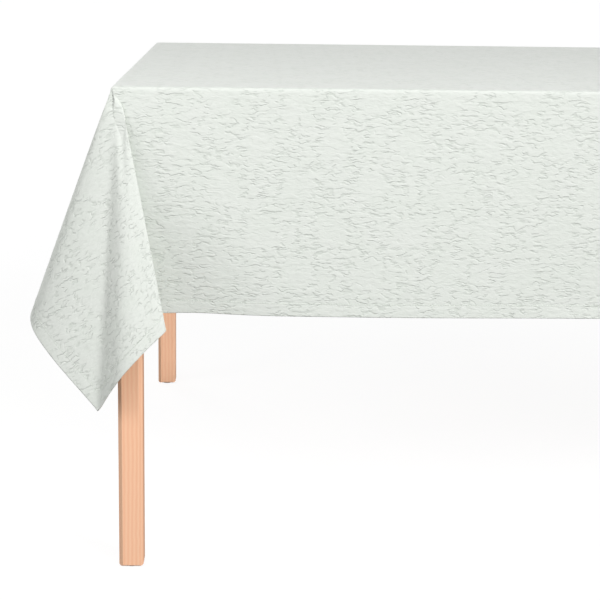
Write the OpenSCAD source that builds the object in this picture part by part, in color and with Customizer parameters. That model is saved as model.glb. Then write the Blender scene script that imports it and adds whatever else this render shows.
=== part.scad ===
// A knock-down softwood dining table with an embossed tablecloth draped over it.
// Millimetres, +Z up. The origin is on the floor under the middle of the tabletop.
// X runs along the table, and -Y is the front.

/* [Tabletop] */
// Length of the tabletop, along X
top_l = 1800; // [1300:10:2400]
// Width of the tabletop, along Y
top_w = 900; // [700:10:1100]
// Thickness of the tabletop
top_t = 27; // [20:1:40]
// Height of the tabletop's upper face above the floor
table_h = 757; // [620:1:920]
// Radius of the tabletop's four corners in plan
top_corner_r = 5; // [4:0.5:12]
// Rounding of the tabletop's upper and lower arrises
top_edge_r = 3; // [1:0.5:6]

/* [Legs] */
// Side of a square leg
leg_w = 38; // [34:1:60]
// Chamfer along the leg's four arrises
leg_chamfer = 6; // [2:0.5:8]
// Chamfer round the leg's foot
foot_chamfer = 2; // [1:0.5:4]
// Set-back of a leg's outer faces from the tabletop's edge
leg_inset = 3; // [3:1:40]
// Flat that is cut on a leg's inner arris for the hanger bolt, along each face
leg_flat = 12; // [8:1:14]

/* [Aprons] */
// Height of the aprons
apron_h = 90; // [70:1:120]
// Thickness of the aprons
apron_t = 20; // [16:1:26]
// Set-back of an apron's outer face from the leg's outer face
apron_inset = 8; // [4:1:12]
// Height of the groove that takes the tabletop clips
groove_h = 3; // [2.5:0.1:4]
// Depth of that groove
groove_depth = 8; // [6:0.5:10]
// Wood left between the groove and the apron's top edge
groove_cover = 12; // [8:0.5:20]
// Height of the cross rail under the middle of the tabletop
rail_h = 60; // [40:1:68]
// Thickness of the cross rail
rail_t = 25; // [20:1:40]

/* [Corner joints] */
// Thickness of a corner block, along the diagonal
block_t = 26; // [22:1:32]
// Height of a corner block
block_h = 56; // [50:1:64]
// Gap between a corner block and the leg, which the hanger bolt pulls on
block_gap = 6; // [4:0.5:10]
// Thread diameter of the hanger bolts
bolt_d = 8; // [6:1:8]
// Length of the hanger bolts
bolt_l = 78; // [74:1:90]
// Depth that a hanger bolt is screwed into its leg
bolt_depth = 28; // [20:1:32]
// Outer diameter of the washers
washer_d = 20; // [18:1:24]
// Thickness of the washers
washer_t = 1.6; // [1:0.1:2]

/* [Fasteners and glides] */
// Shank diameter of the wood screws
screw_d = 4; // [3:0.5:4.5]
// Head diameter of the pan-head screws
screw_head_d = 8; // [7:0.5:8.5]
// Head height of the pan-head screws
screw_head_h = 2.6; // [2:0.1:3]
// Thickness of the tabletop clips' steel
clip_t = 2; // [1.2:0.1:2]
// Width of a tabletop clip
clip_w = 25; // [16:1:40]
// Reach of a tabletop clip from the apron
clip_reach = 26; // [22:1:34]
// Height of a leg's glide under the foot
glide_h = 3; // [2:0.5:6]
// Diameter of a glide
glide_d = 26; // [20:1:28]

/* [Tablecloth] */
// Length that the cloth was cut and hemmed to, along X
cloth_l = 2500; // [2440:10:2700]
// Width that the cloth was cut and hemmed to, along Y
cloth_w = 1600; // [1540:10:1800]
// Thickness of the embossed cloth as it lies
cloth_t = 1.2; // [0.8:0.1:1.5]
// Air between the cloth and the wood it lies on
cloth_gap = 1.5; // [1.5:0.1:3]
// Width of the sewn hem
hem_w = 20; // [10:1:30]
// Thickness of the hem stitches
thread_t = 0.8; // [0.6:0.1:1.2]
// Width of the blank care label
label_w = 25; // [15:1:40]
// Length of the blank care label
label_l = 45; // [30:1:60]

/* [Hidden] */
$fn = 48;

// Which way each corner lies from the middle of the table
front_left = [-1, -1];
front_right = [1, -1];
back_left = [-1, 1];
back_right = [1, 1];
corners = [front_left, front_right, back_left, back_right];

wood_colour = "#F7C19F";
steel_colour = "#B9BDC1";
cloth_colour = "#DFE5DC";

// Clearance round a fastener in its hole, the same in a loose hole, and how far a
// cutter runs past a face
hole_gap = 0.1;
loose_gap = 0.5;
cut_past = 1;

under_top = table_h - top_t;
apron_bottom = under_top - apron_h;
// From the leg's outer corner to the apron's inner face
apron_inner = apron_inset + apron_t;
// Outer corner of a leg, as distances from the middle of the table
leg_x = top_l / 2 - leg_inset;
leg_y = top_w / 2 - leg_inset;

// Corner joint: x + y at the leg's flat and at both faces of the block
flat_sum = 2 * leg_w - leg_flat;
block_sum = flat_sum + block_gap * sqrt(2);
block_inner_sum = block_sum + block_t * sqrt(2);
joint_z = under_top - apron_h / 2;
bolt_start = flat_sum / sqrt(2) - bolt_depth;
block_face = block_inner_sum / sqrt(2);
// Block screws: how far along the apron from the block's edge, how far above and
// below the bolt, the wood under the head, and the length held in the apron
block_screw_edge = 13;
block_screw_x = block_sum - apron_inner + block_screw_edge;
block_screw_rise = 15;
block_screw_web = 9;
block_screw_bite = 14;
block_screw_l = block_screw_web + block_screw_bite;
nut_r = 7;
nut_h = 7;
nut_taper = 1.5;
wing_t = 2.6;
wing_r = 5;
wing_out = 4;

// Tabletop clips stand along the aprons' inner faces
long_clip_pitch = 0.42 * (leg_x - leg_w);
long_clips = [for (i = [-1.5, -0.5, 0.5, 1.5]) i * long_clip_pitch];
short_clips = [for (i = [-0.5, 0.5]) i * (leg_y - leg_w)];
groove_top = under_top - groove_cover;
clip_screw_edge = 10;
clip_screw_at = clip_reach - clip_screw_edge;
clip_screw_l = 16;
rail_screw_l = 60;
rail_screw_rise = 14;
rail_end = leg_y - apron_inner;
nail_d = 3;
nail_l = 16;
nail_point = 3;

// Wood screw details: length and diameter of the point, and the driver's cross
screw_tip = 3;
screw_point_d = 0.6;
cross_l = 4.8;
cross_w = 1;
cross_depth = 1.4;
// Hanger bolt details: its wood point and the chamfer at its nut end
bolt_tip = 5;
bolt_point_d = 2;
bolt_chamfer = 1;
apron_arris = 2;
glide_edge = 1;

// The cloth's outer surface stands this far outside the wood
cloth_out = cloth_gap + cloth_t;
cloth_top = table_h + cloth_out;
// Upper corner of the cloth over a tabletop corner, as distances from the middle
apex_x = top_l / 2 + cloth_out;
apex_y = top_w / 2 + cloth_out;
drop_front = cloth_w / 2 - apex_y;
drop_end = cloth_l / 2 - apex_x;
tip_angle = atan(drop_end / drop_front);

// The hanging corner at the front left. Its straight creases all run from the
// tabletop's corner, so one turn of directions describes it. Each row is one crease:
// where it meets the hem (0 below the corner on the long side, 1 at the cloth's own
// corner, 2 below the corner on the short side), then how far it leans along the
// table and into the table for each unit of drop.
creases = [
    [-0.56, 0.47, 0],
    [-0.40, 0.325, 0],
    [-0.27, 0.225, 0],
    [0.10, 0.182, 0],
    [0.48, 0.186, -0.045],
    [0.62, 0.13, -0.080],
    [0.80, 0.035, -0.075],
    [1.00, -0.078, -0.022],
    [1.22, -0.240, 0.020],
    [1.43, -0.395, 0.095],
    [1.56, -0.375, 0.165],
    [1.80, -0.150, 0.150],
    [2.10, -0.016, 0.230],
    [2.55, 0, 0.47]
];
crease_steps = 3;
// Depth under the corner where the hollow of the fold begins
fold_root = 10;

// ---------- shapes that repeat ----------

// Puts what is drawn for the front left corner at the corner c
module at_corner(c) {
    if (c.x > 0)
        mirror([1, 0, 0]) at_depth(c) children();
    else
        at_depth(c) children();
}

module at_depth(c) {
    if (c.y > 0)
        mirror([0, 1, 0]) children();
    else
        children();
}

// Draws from a leg's outer corner, +x and +y running inwards
module from_leg_corner(c) {
    at_corner(c) translate([-leg_x, -leg_y, 0]) children();
}

// A rectangle with rounded corners, centred
module rounded_plate(l, w, r) {
    square([l - 2 * r, w], center = true);
    square([l, w - 2 * r], center = true);
    for (x = [-1, 1])
        for (y = [-1, 1])
            translate([x * (l / 2 - r), y * (w / 2 - r)]) circle(r);
}

// A pan-head wood screw along +Z, its head's underside at z = 0
module pan_screw(l) {
    translate([0, 0, -screw_head_h]) difference() {
        cylinder(d = screw_head_d, h = screw_head_h);
        for (turn = [0, 90])
            rotate(turn) translate([-cross_l / 2, -cross_w / 2, -cut_past])
                cube([cross_l, cross_w, cut_past + cross_depth]);
    }
    screw_shank(l);
}

// A wood screw's shank and point, from z = 0
module screw_shank(l) {
    cylinder(d = screw_d, h = l - screw_tip);
    translate([0, 0, l - screw_tip])
        cylinder(d1 = screw_d, d2 = screw_point_d, h = screw_tip);
}

// The hole that a screw sits in, from its head's underside
module screw_hole(l) {
    cylinder(d = screw_d + 2 * hole_gap, h = l + hole_gap);
}

// ---------- table ----------

module tabletop() {
    color(wood_colour) difference() {
        intersection() {
            translate([0, 0, under_top]) linear_extrude(top_t)
                rounded_plate(top_l, top_w, top_corner_r);
            translate([0, top_w / 2, under_top + top_t / 2]) rotate([90, 0, 0])
                linear_extrude(top_w) rounded_plate(top_l, top_t, top_edge_r);
            translate([-top_l / 2, 0, under_top + top_t / 2]) rotate([90, 0, 90])
                linear_extrude(top_l) rounded_plate(top_w, top_t, top_edge_r);
        }
        at_clips() translate([0, clip_screw_at, -clip_t]) screw_hole(clip_screw_l);
    }
}

module leg(c) {
    h = under_top - glide_h;
    k = leg_chamfer;
    f = foot_chamfer;
    outline = [
        [k, 0], [leg_w - k, 0], [leg_w, k], [leg_w, leg_w - k],
        [leg_w - k, leg_w], [k, leg_w], [0, leg_w - k], [0, k]
    ];
    side = [[f, 0], [leg_w - f, 0], [leg_w, f], [leg_w, h], [0, h], [0, f]];
    color(wood_colour) from_leg_corner(c) difference() {
        translate([0, 0, glide_h]) intersection() {
            linear_extrude(h) polygon(outline);
            translate([0, leg_w, 0]) rotate([90, 0, 0]) linear_extrude(leg_w) polygon(side);
            rotate([90, 0, 90]) linear_extrude(leg_w) polygon(side);
        }
        // flat for the hanger bolt, as high as the aprons
        translate([0, 0, apron_bottom]) linear_extrude(apron_h + cut_past)
            polygon([
                [leg_w + cut_past, flat_sum - leg_w - cut_past],
                [leg_w + cut_past, leg_w + cut_past],
                [flat_sum - leg_w - cut_past, leg_w + cut_past]
            ]);
        along_diagonal(bolt_start - hole_gap)
            cylinder(d = bolt_d + 2 * hole_gap, h = bolt_depth + cut_past);
        translate([leg_w / 2, leg_w / 2, glide_h - cut_past])
            cylinder(d = nail_d + 2 * hole_gap, h = nail_l + cut_past + hole_gap);
    }
}

// Turns +Z to the corner's inward diagonal, starting at this distance along it
module along_diagonal(distance) {
    translate([distance / sqrt(2), distance / sqrt(2), joint_z]) rotate([0, 90, 45])
        children();
}

// Section of an apron: y = 0 is its outer face
module apron_section() {
    e = apron_arris;
    polygon([
        [e, apron_bottom], [apron_t - e, apron_bottom], [apron_t, apron_bottom + e],
        [apron_t, groove_top - groove_h], [apron_t - groove_depth, groove_top - groove_h],
        [apron_t - groove_depth, groove_top], [apron_t, groove_top],
        [apron_t, under_top], [0, under_top], [0, apron_bottom + e]
    ]);
}

// An apron along +X, from one leg to the other, at the front
module long_apron() {
    span = 2 * (leg_x - leg_w);
    difference() {
        translate([-span / 2, apron_inset - leg_y, 0]) rotate([90, 0, 90])
            linear_extrude(span) apron_section();
        for (c = [front_left, front_right])
            from_leg_corner(c) block_screws_long_side() screw_hole(block_screw_l);
        rail_screws_front() rail_screw_hole();
    }
}

// An apron along Y at the left end
module short_apron() {
    span = 2 * (leg_y - leg_w);
    difference() {
        translate([apron_inset - leg_x, span / 2, 0]) rotate([90, 0, 0])
            linear_extrude(span) apron_section();
        for (c = [front_left, back_left])
            from_leg_corner(c) block_screws_short_side() screw_hole(block_screw_l);
    }
}

module apron_front() {
    color(wood_colour) long_apron();
}

module apron_back() {
    color(wood_colour) mirror([0, 1, 0]) long_apron();
}

module apron_left() {
    color(wood_colour) short_apron();
}

module apron_right() {
    color(wood_colour) mirror([1, 0, 0]) short_apron();
}

module cross_rail() {
    color(wood_colour) difference() {
        translate([-rail_t / 2, -rail_end, under_top - rail_h])
            cube([rail_t, 2 * rail_end, rail_h]);
        rail_screws_front() rail_screw_hole();
        mirror([0, 1, 0]) rail_screws_front() rail_screw_hole();
    }
}

// ---------- corner joints ----------

module corner_block(c) {
    a = apron_inner;
    color("#EBB58F") from_leg_corner(c) difference() {
        translate([0, 0, joint_z - block_h / 2]) linear_extrude(block_h)
            polygon([
                [block_sum - a, a], [block_inner_sum - a, a],
                [a, block_inner_sum - a], [a, block_sum - a]
            ]);
        along_diagonal(block_sum / sqrt(2) - cut_past)
            cylinder(d = bolt_d + 2 * loose_gap, h = block_t + 2 * cut_past);
        block_screws_long_side() counterbored_hole();
        block_screws_short_side() counterbored_hole();
    }
}

module counterbored_hole() {
    screw_hole(block_screw_l);
    translate([0, 0, -block_t]) cylinder(d = screw_head_d + 2 * loose_gap, h = block_t);
}

// Screws through the block into the apron on the long side, head inwards
module block_screws_long_side() {
    for (z = [-block_screw_rise, block_screw_rise])
        translate([block_screw_x, apron_inner + block_screw_web, joint_z + z])
            rotate([90, 0, 0]) children();
}

// The same into the apron on the short side
module block_screws_short_side() {
    for (z = [-block_screw_rise, block_screw_rise])
        translate([apron_inner + block_screw_web, block_screw_x, joint_z + z])
            rotate([0, -90, 0]) children();
}

module corner_block_screws() {
    color(steel_colour) for (c = corners) from_leg_corner(c) {
        block_screws_long_side() pan_screw(block_screw_l);
        block_screws_short_side() pan_screw(block_screw_l);
    }
}

module hanger_bolts() {
    color(steel_colour) for (c = corners) from_leg_corner(c) along_diagonal(bolt_start) {
        cylinder(d1 = bolt_point_d, d2 = bolt_d, h = bolt_tip);
        translate([0, 0, bolt_tip])
            cylinder(d = bolt_d, h = bolt_l - bolt_tip - bolt_chamfer);
        translate([0, 0, bolt_l - bolt_chamfer])
            cylinder(d1 = bolt_d, d2 = bolt_d - 2 * bolt_chamfer, h = bolt_chamfer);
    }
}

module hanger_washers() {
    color(steel_colour) for (c = corners) from_leg_corner(c) along_diagonal(block_face)
        difference() {
            cylinder(d = washer_d, h = washer_t);
            translate([0, 0, -cut_past])
                cylinder(d = bolt_d + 4 * hole_gap, h = washer_t + 2 * cut_past);
        }
}

module wing_nuts() {
    color(steel_colour) for (c = corners) from_leg_corner(c)
        along_diagonal(block_face + washer_t) wing_nut();
}

module wing_nut() {
    difference() {
        union() {
            cylinder(r1 = nut_r, r2 = nut_r - nut_taper, h = nut_h);
            for (side = [-1, 1])
                translate([0, wing_t / 2, 0]) rotate([90, 0, 0]) linear_extrude(wing_t)
                    hull() {
                        translate([side * (nut_r + wing_out), nut_h]) circle(wing_r);
                        translate([side * nut_r / 2, wing_t]) circle(wing_t / 2);
                    }
        }
        translate([0, 0, -cut_past])
            cylinder(d = bolt_d + 2 * hole_gap, h = nut_h + wing_r + 2 * cut_past);
    }
}

// ---------- clips, screws and glides ----------

// Draws at each clip: y = 0 is the apron's inner face, z = 0 the tabletop's underside
module at_clips() {
    for (c = [front_left, back_left])
        for (x = long_clips)
            at_depth(c) translate([x, apron_inner - leg_y, under_top]) children();
    for (c = [front_left, front_right])
        for (y = short_clips)
            at_corner(c) translate([apron_inner - leg_x, y, under_top]) rotate(-90)
                children();
}

module tabletop_clips() {
    tab_z = -groove_cover - groove_h / 2 - clip_t / 2;
    stand_off = 0.6;
    tongue = 1 - groove_depth;
    color(steel_colour) at_clips() difference() {
        translate([-clip_w / 2, 0, 0]) rotate([90, 0, 90]) linear_extrude(clip_w)
            polygon([
                [tongue, tab_z], [stand_off + clip_t, tab_z],
                [stand_off + clip_t, -clip_t], [clip_reach, -clip_t], [clip_reach, 0],
                [stand_off, 0], [stand_off, tab_z + clip_t],
                [tongue, tab_z + clip_t]
            ]);
        translate([0, clip_screw_at, -clip_t - cut_past])
            cylinder(d = screw_d + 2 * loose_gap, h = clip_t + 2 * cut_past);
    }
}

module clip_screws() {
    color(steel_colour) at_clips() translate([0, clip_screw_at, -clip_t])
        pan_screw(clip_screw_l);
}

// Draws along each rail screw at the front apron, from the apron's outer face
module rail_screws_front() {
    for (z = [-rail_screw_rise, rail_screw_rise])
        translate([0, apron_inset - leg_y, under_top - rail_h / 2 + z])
            rotate([-90, 0, 0]) children();
}

module rail_screw_hole() {
    translate([0, 0, -hole_gap])
        cylinder(
            d1 = screw_head_d + 2 * hole_gap, d2 = screw_d + 2 * hole_gap,
            h = screw_head_h + 3 * hole_gap
        );
    cylinder(d = screw_d + 2 * hole_gap, h = rail_screw_l + hole_gap);
}

module rail_screws() {
    color(steel_colour) for (c = [front_left, back_left]) at_depth(c) rail_screws_front() {
        cylinder(d1 = screw_head_d - 2 * hole_gap, d2 = screw_d, h = screw_head_h);
        translate([0, 0, screw_head_h]) screw_shank(rail_screw_l - screw_head_h);
    }
}

// A nail-on glide: a plastic disc with its nail
module glide(c) {
    r = glide_d / 2;
    color("#8C6A4C") from_leg_corner(c) translate([leg_w / 2, leg_w / 2, 0])
        rotate_extrude() polygon([
            [0, 0], [r - glide_edge, 0], [r, glide_edge], [r, glide_h],
            [nail_d / 2, glide_h], [nail_d / 2, glide_h + nail_l - nail_point],
            [0, glide_h + nail_l]
        ]);
}

// ---------- tablecloth ----------

// A point on a smooth curve through p1 and p2, at the share u of the way
function smooth(p0, p1, p2, p3, u) =
    p1 + 0.5 * u * (p2 - p0)
    + 0.5 * u * u * (2 * p0 - 5 * p1 + 4 * p2 - p3)
    + 0.5 * u * u * u * (3 * p1 - p0 - 3 * p2 + p3);

last_crease = len(creases) - 1;

// The creases with more of them filled in between, so that the fold is round
crease_turn = concat(
    [for (i = [0:last_crease - 1])
        for (j = [0:crease_steps - 1])
            smooth(
                creases[max(i - 1, 0)], creases[i], creases[i + 1],
                creases[min(i + 2, last_crease)], j / crease_steps
            )],
    [creases[last_crease]]
);

// Angle in the flat cloth, from the long side's drop, of a crease that meets the hem at s
function flat_angle(s) =
    s <= 1 ? s * tip_angle : tip_angle + (s - 1) * (90 - tip_angle);

// Length of that crease from the tabletop's corner to the hem
function crease_length(s) =
    s <= 1 ? drop_front / cos(flat_angle(s)) : drop_end / sin(flat_angle(s));

// Where a crease ends at the hem, from the cloth's upper corner. The first and the
// last lie in the flat drops, so they end exactly at the drop.
function hem_point(i) =
    let (row = crease_turn[i], lean = [row[1], row[2], -1])
    i == 0 ? drop_front * lean
    : i == len(crease_turn) - 1 ? drop_end * lean
    : crease_length(row[0]) / norm(lean) * lean;

crease_count = len(crease_turn);
outer_hem = [for (i = [0:crease_count - 1]) hem_point(i)];

// Unit normal in plan, towards the table, of the hem at point i
function hem_inward(i) =
    i == 0 ? [0, 1]
    : i == crease_count - 1 ? [1, 0]
    : let (d = outer_hem[i + 1] - outer_hem[i - 1]) [d.y, -d.x] / norm([d.x, d.y]);

inner_hem = [for (i = [0:crease_count - 1])
    outer_hem[i] + cloth_t * [hem_inward(i).x, hem_inward(i).y, 0]];

// A point given from the front left upper corner, carried to the corner c
function carried(p, c) = [-c.x * (p.x - apex_x), -c.y * (p.y - apex_y), cloth_top + p.z];

function backwards(list) = [for (i = [len(list) - 1:-1:0]) list[i]];

// Once round the table: long side to short side, then back, in turn
round_trip = [front_left, back_left, back_right, front_right];

function hem_loop(hem) = [for (k = [0:3])
    for (p = k % 2 == 0 ? hem : backwards(hem)) carried(p, round_trip[k])];

module tablecloth() {
    n = crease_count;
    around = 4 * n;
    outer_corner = 2 * around;
    inner_corner = outer_corner + 4;
    fold_corner = inner_corner + 4;
    points = concat(
        hem_loop(outer_hem),
        hem_loop(inner_hem),
        [for (c = round_trip) carried([0, 0, 0], c)],
        [for (c = round_trip) carried([cloth_t, cloth_t, -cloth_t], c)],
        [for (c = round_trip) carried([cloth_t, cloth_t, -fold_root], c)]
    );
    fold_faces = [for (k = [0:3])
        for (i = [k * n:k * n + n - 2])
            each [
                [outer_corner + k, i, i + 1],
                [fold_corner + k, around + i + 1, around + i]
            ]];
    drop_faces = [for (k = [0:3])
        let (m = (k + 1) % 4, a = k * n + n - 1, b = m * n)
            each [
                [outer_corner + k, a, b, outer_corner + m],
                [
                    inner_corner + k, inner_corner + m, fold_corner + m,
                    around + b, around + a, fold_corner + k
                ]
            ]];
    hem_faces = [for (i = [0:around - 1])
        let (j = (i + 1) % around)
            each [[i, around + i, j], [around + i, around + j, j]]];
    top_faces = [
        [for (k = [0:3]) outer_corner + k],
        [for (k = [3:-1:0]) inner_corner + k]
    ];
    color(cloth_colour) polyhedron(
        points, concat(top_faces, fold_faces, drop_faces, hem_faces), convexity = 8
    );
}

// Straight runs of hem stitching on the four drops, between the hanging corners
module hem_thread() {
    run_x = 2 * (apex_x - drop_front * creases[0][1]);
    run_y = 2 * (apex_y - drop_end * creases[last_crease][2]);
    z = cloth_top + hem_w;
    color("#E9EEE6") {
        for (side = [0, 1])
            mirror([0, side, 0])
                translate([-run_x / 2, -apex_y - thread_t, z - drop_front])
                    cube([run_x, thread_t, thread_t]);
        for (side = [0, 1])
            mirror([side, 0, 0])
                translate([-apex_x - thread_t, -run_y / 2, z - drop_end])
                    cube([thread_t, run_y, thread_t]);
    }
}

// A blank label on the inner face of the back drop, sewn in at the hem
module care_label() {
    label_t = 0.5;
    from_corner = 260;
    color("white")
        translate([
            apex_x - from_corner, apex_y - cloth_t - label_t, cloth_top - drop_front + hem_w
        ])
            cube([label_w, label_t, label_l]);
}

tabletop();
leg(front_left);  // leg_front_left
leg(front_right);  // leg_front_right
leg(back_left);  // leg_back_left
leg(back_right);  // leg_back_right
apron_front();
apron_back();
apron_left();
apron_right();
cross_rail();
corner_block(front_left);  // corner_block_front_left
corner_block(front_right);  // corner_block_front_right
corner_block(back_left);  // corner_block_back_left
corner_block(back_right);  // corner_block_back_right
hanger_bolts();
hanger_washers();
wing_nuts();
corner_block_screws();
tabletop_clips();
clip_screws();
rail_screws();
glide(front_left);  // glide_front_left
glide(front_right);  // glide_front_right
glide(back_left);  // glide_back_left
glide(back_right);  // glide_back_right
tablecloth();
hem_thread();
care_label();
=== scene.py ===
"""Softwood dining table under an embossed, draped tablecloth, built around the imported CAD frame.

Metres, +Z up, floor at z = 0, X along the table, -Y the front.
"""

import math

import bpy
import numpy as np
from bpy.props import FloatProperty, FloatVectorProperty, PointerProperty, StringProperty
from mathutils import Matrix, Vector


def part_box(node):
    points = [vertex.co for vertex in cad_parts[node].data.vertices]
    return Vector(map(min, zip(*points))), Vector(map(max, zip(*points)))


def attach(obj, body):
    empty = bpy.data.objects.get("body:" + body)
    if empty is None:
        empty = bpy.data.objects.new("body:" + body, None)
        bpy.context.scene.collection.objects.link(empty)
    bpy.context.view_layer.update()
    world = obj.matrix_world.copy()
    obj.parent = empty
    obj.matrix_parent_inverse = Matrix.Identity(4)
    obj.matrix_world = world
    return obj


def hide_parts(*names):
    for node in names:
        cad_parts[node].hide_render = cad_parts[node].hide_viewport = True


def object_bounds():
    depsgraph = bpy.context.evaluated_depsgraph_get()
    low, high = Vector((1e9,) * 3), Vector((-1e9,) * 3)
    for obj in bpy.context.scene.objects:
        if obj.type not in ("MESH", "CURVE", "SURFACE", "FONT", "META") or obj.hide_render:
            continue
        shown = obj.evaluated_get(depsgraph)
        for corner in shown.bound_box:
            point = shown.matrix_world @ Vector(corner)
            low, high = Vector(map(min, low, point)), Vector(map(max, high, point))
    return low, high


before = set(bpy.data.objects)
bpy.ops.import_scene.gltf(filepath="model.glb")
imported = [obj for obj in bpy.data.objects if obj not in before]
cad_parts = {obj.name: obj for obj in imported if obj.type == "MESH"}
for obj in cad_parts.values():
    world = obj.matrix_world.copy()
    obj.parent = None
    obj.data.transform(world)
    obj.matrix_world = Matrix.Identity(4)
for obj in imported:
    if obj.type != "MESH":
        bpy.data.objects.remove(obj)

bl_info = {
    "name": "Draped Tablecloth",
    "version": (1, 0, 0),
    "blender": (4, 5, 0),
    "location": "3D Viewport > Sidebar > Tablecloth",
    "description": "Builds a dining table with an embossed tablecloth that hangs in folded corners",
    "category": "Add Mesh",
}

MM = 0.001
# A wave texture of scale 1 repeats every so many units
WAVE_REPEAT = 0.314
CLOTH_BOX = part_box("tablecloth")
TOP_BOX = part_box("tabletop")
CAD_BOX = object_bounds()

# Nodes by the direction their grain runs in
WOOD_ALONG_X = ("tabletop", "apron_front", "apron_back")
WOOD_ALONG_Y = ("apron_left", "apron_right", "cross_rail")
WOOD_ALONG_Z = ("leg_front_left", "leg_front_right", "leg_back_left", "leg_back_right")
CORNER_BLOCKS = (
    "corner_block_front_left", "corner_block_front_right",
    "corner_block_back_left", "corner_block_back_right",
)
HARDWARE = (
    "hanger_bolts", "hanger_washers", "wing_nuts", "corner_block_screws",
    "tabletop_clips", "clip_screws", "rail_screws",
)
GLIDES = ("glide_front_left", "glide_front_right", "glide_back_left", "glide_back_right")

# How the cloth's hanging corner turns, as straight rays from the tabletop's corner.
# Each row is how far a ray leans along the table and into the table per unit of drop.
# The first part runs from the front drop to the cloth's own corner, the second from
# there to the end drop.
FOLD_FRONT = (
    (0.90, 0.0), (0.70, 0.004), (0.54, 0.011), (0.42, 0.020), (0.33, 0.022),
    (0.26, 0.018), (0.18, 0.010), (0.09, 0.006), (0.0, 0.002), (-0.052, -0.006),
    (-0.040, -0.024), (0.02, -0.046), (0.10, -0.070), (0.162, -0.086), (0.196, -0.100),
    (0.184, -0.114), (0.12, -0.126), (0.055, -0.130), (0.010, -0.118), (-0.026, -0.088),
    (-0.058, -0.050),
)
# The row of FOLD_FRONT that is the flap's front edge. The rays up to it keep their own angles.
FOLD_EDGE_ROW = 14
FOLD_SIDE = (
    (-0.058, -0.050), (-0.12, -0.038), (-0.225, -0.012), (-0.325, 0.038),
    (-0.360, 0.088), (-0.362, 0.140), (-0.31, 0.168), (-0.20, 0.130), (-0.10, 0.060),
    (-0.045, 0.022), (-0.014, 0.030), (-0.004, 0.085), (-0.006, 0.2), (0.0, 0.47),
)


# Far lights besides the key: how far round to the right, how high and how wide, in degrees
SIDE_LIGHT = (-58, 28, 26)
BACK_LIGHT = (215, 9, 30)

# The strip light: its length and depth, and how far in front of the table and above it
STRIP_SIZE = (4.0, 0.5)
STRIP_FORWARD = 1.2
STRIP_ABOVE = 0.75

# The low spot: its cone, its place from the back left leg, and the height it points at
SPOT_CONE = math.radians(10)
SPOT_PLACE = (2.1, -2.3, 0.21)
SPOT_AIM_HEIGHT = 0.19

# Half the side of the square floor
FLOOR_HALF = 60.0


# ---------- settings ----------


class TableclothSettings(bpy.types.PropertyGroup):
    """Sizes and colours of the cloth"""

    flat_length: FloatProperty(
        name="Flat length", description="Length the cloth was cut and hemmed to",
        default=2.5, min=2.0, max=3.0, unit="LENGTH",
    )
    flat_width: FloatProperty(
        name="Flat width", description="Width the cloth was cut and hemmed to",
        default=1.6, min=1.2, max=2.0, unit="LENGTH",
    )
    thickness: FloatProperty(
        name="Thickness", description="Thickness of the embossed cloth",
        default=1.2 * MM, min=0.5 * MM, max=2 * MM, unit="LENGTH",
    )
    hem_width: FloatProperty(
        name="Hem width", description="Distance from the edge to the hem stitches",
        default=20 * MM, min=10 * MM, max=30 * MM, unit="LENGTH",
    )
    bend_radius: FloatProperty(
        name="Bend radius", description="Roundness of every fold and edge of the cloth",
        default=7 * MM, min=3 * MM, max=10 * MM, unit="LENGTH",
    )
    wave_height: FloatProperty(
        name="Wave height", description="How far the hem sways out between the corners",
        default=3 * MM, min=0.0, max=8 * MM, unit="LENGTH",
    )
    stitch_length: FloatProperty(
        name="Stitch length", description="Length of one hem stitch",
        default=3.2 * MM, min=2 * MM, max=6 * MM, unit="LENGTH",
    )
    colour: StringProperty(
        name="Cloth colour", description="Ground colour of the cloth", default="#DFE4DD",
    )
    # painted shade: the darker colour laid into the embossed creases and crimps, standing in for
    # their shade
    painted_crease_shade_colour: StringProperty(
        name="Crease colour", description="Colour down in the embossed lines", default="#CED4CC",
    )


class TableSettings(bpy.types.PropertyGroup):
    """Colours, growth rings and sanded edges of the table's wood"""

    early_wood: StringProperty(
        name="Early wood", description="Light part of each growth ring", default="#FFCFAD",
    )
    late_wood: StringProperty(
        name="Late wood", description="Dark part of each growth ring", default="#F8BC96",
    )
    ring_width: FloatProperty(
        name="Ring width", description="Width of one growth ring",
        default=6 * MM, min=1 * MM, max=12 * MM, unit="LENGTH",
    )
    arris: FloatProperty(
        name="Sanded arris", description="Rounding that sanding leaves on sharp wood edges",
        default=0.7 * MM, min=0.0, max=2 * MM, unit="LENGTH",
    )


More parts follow.
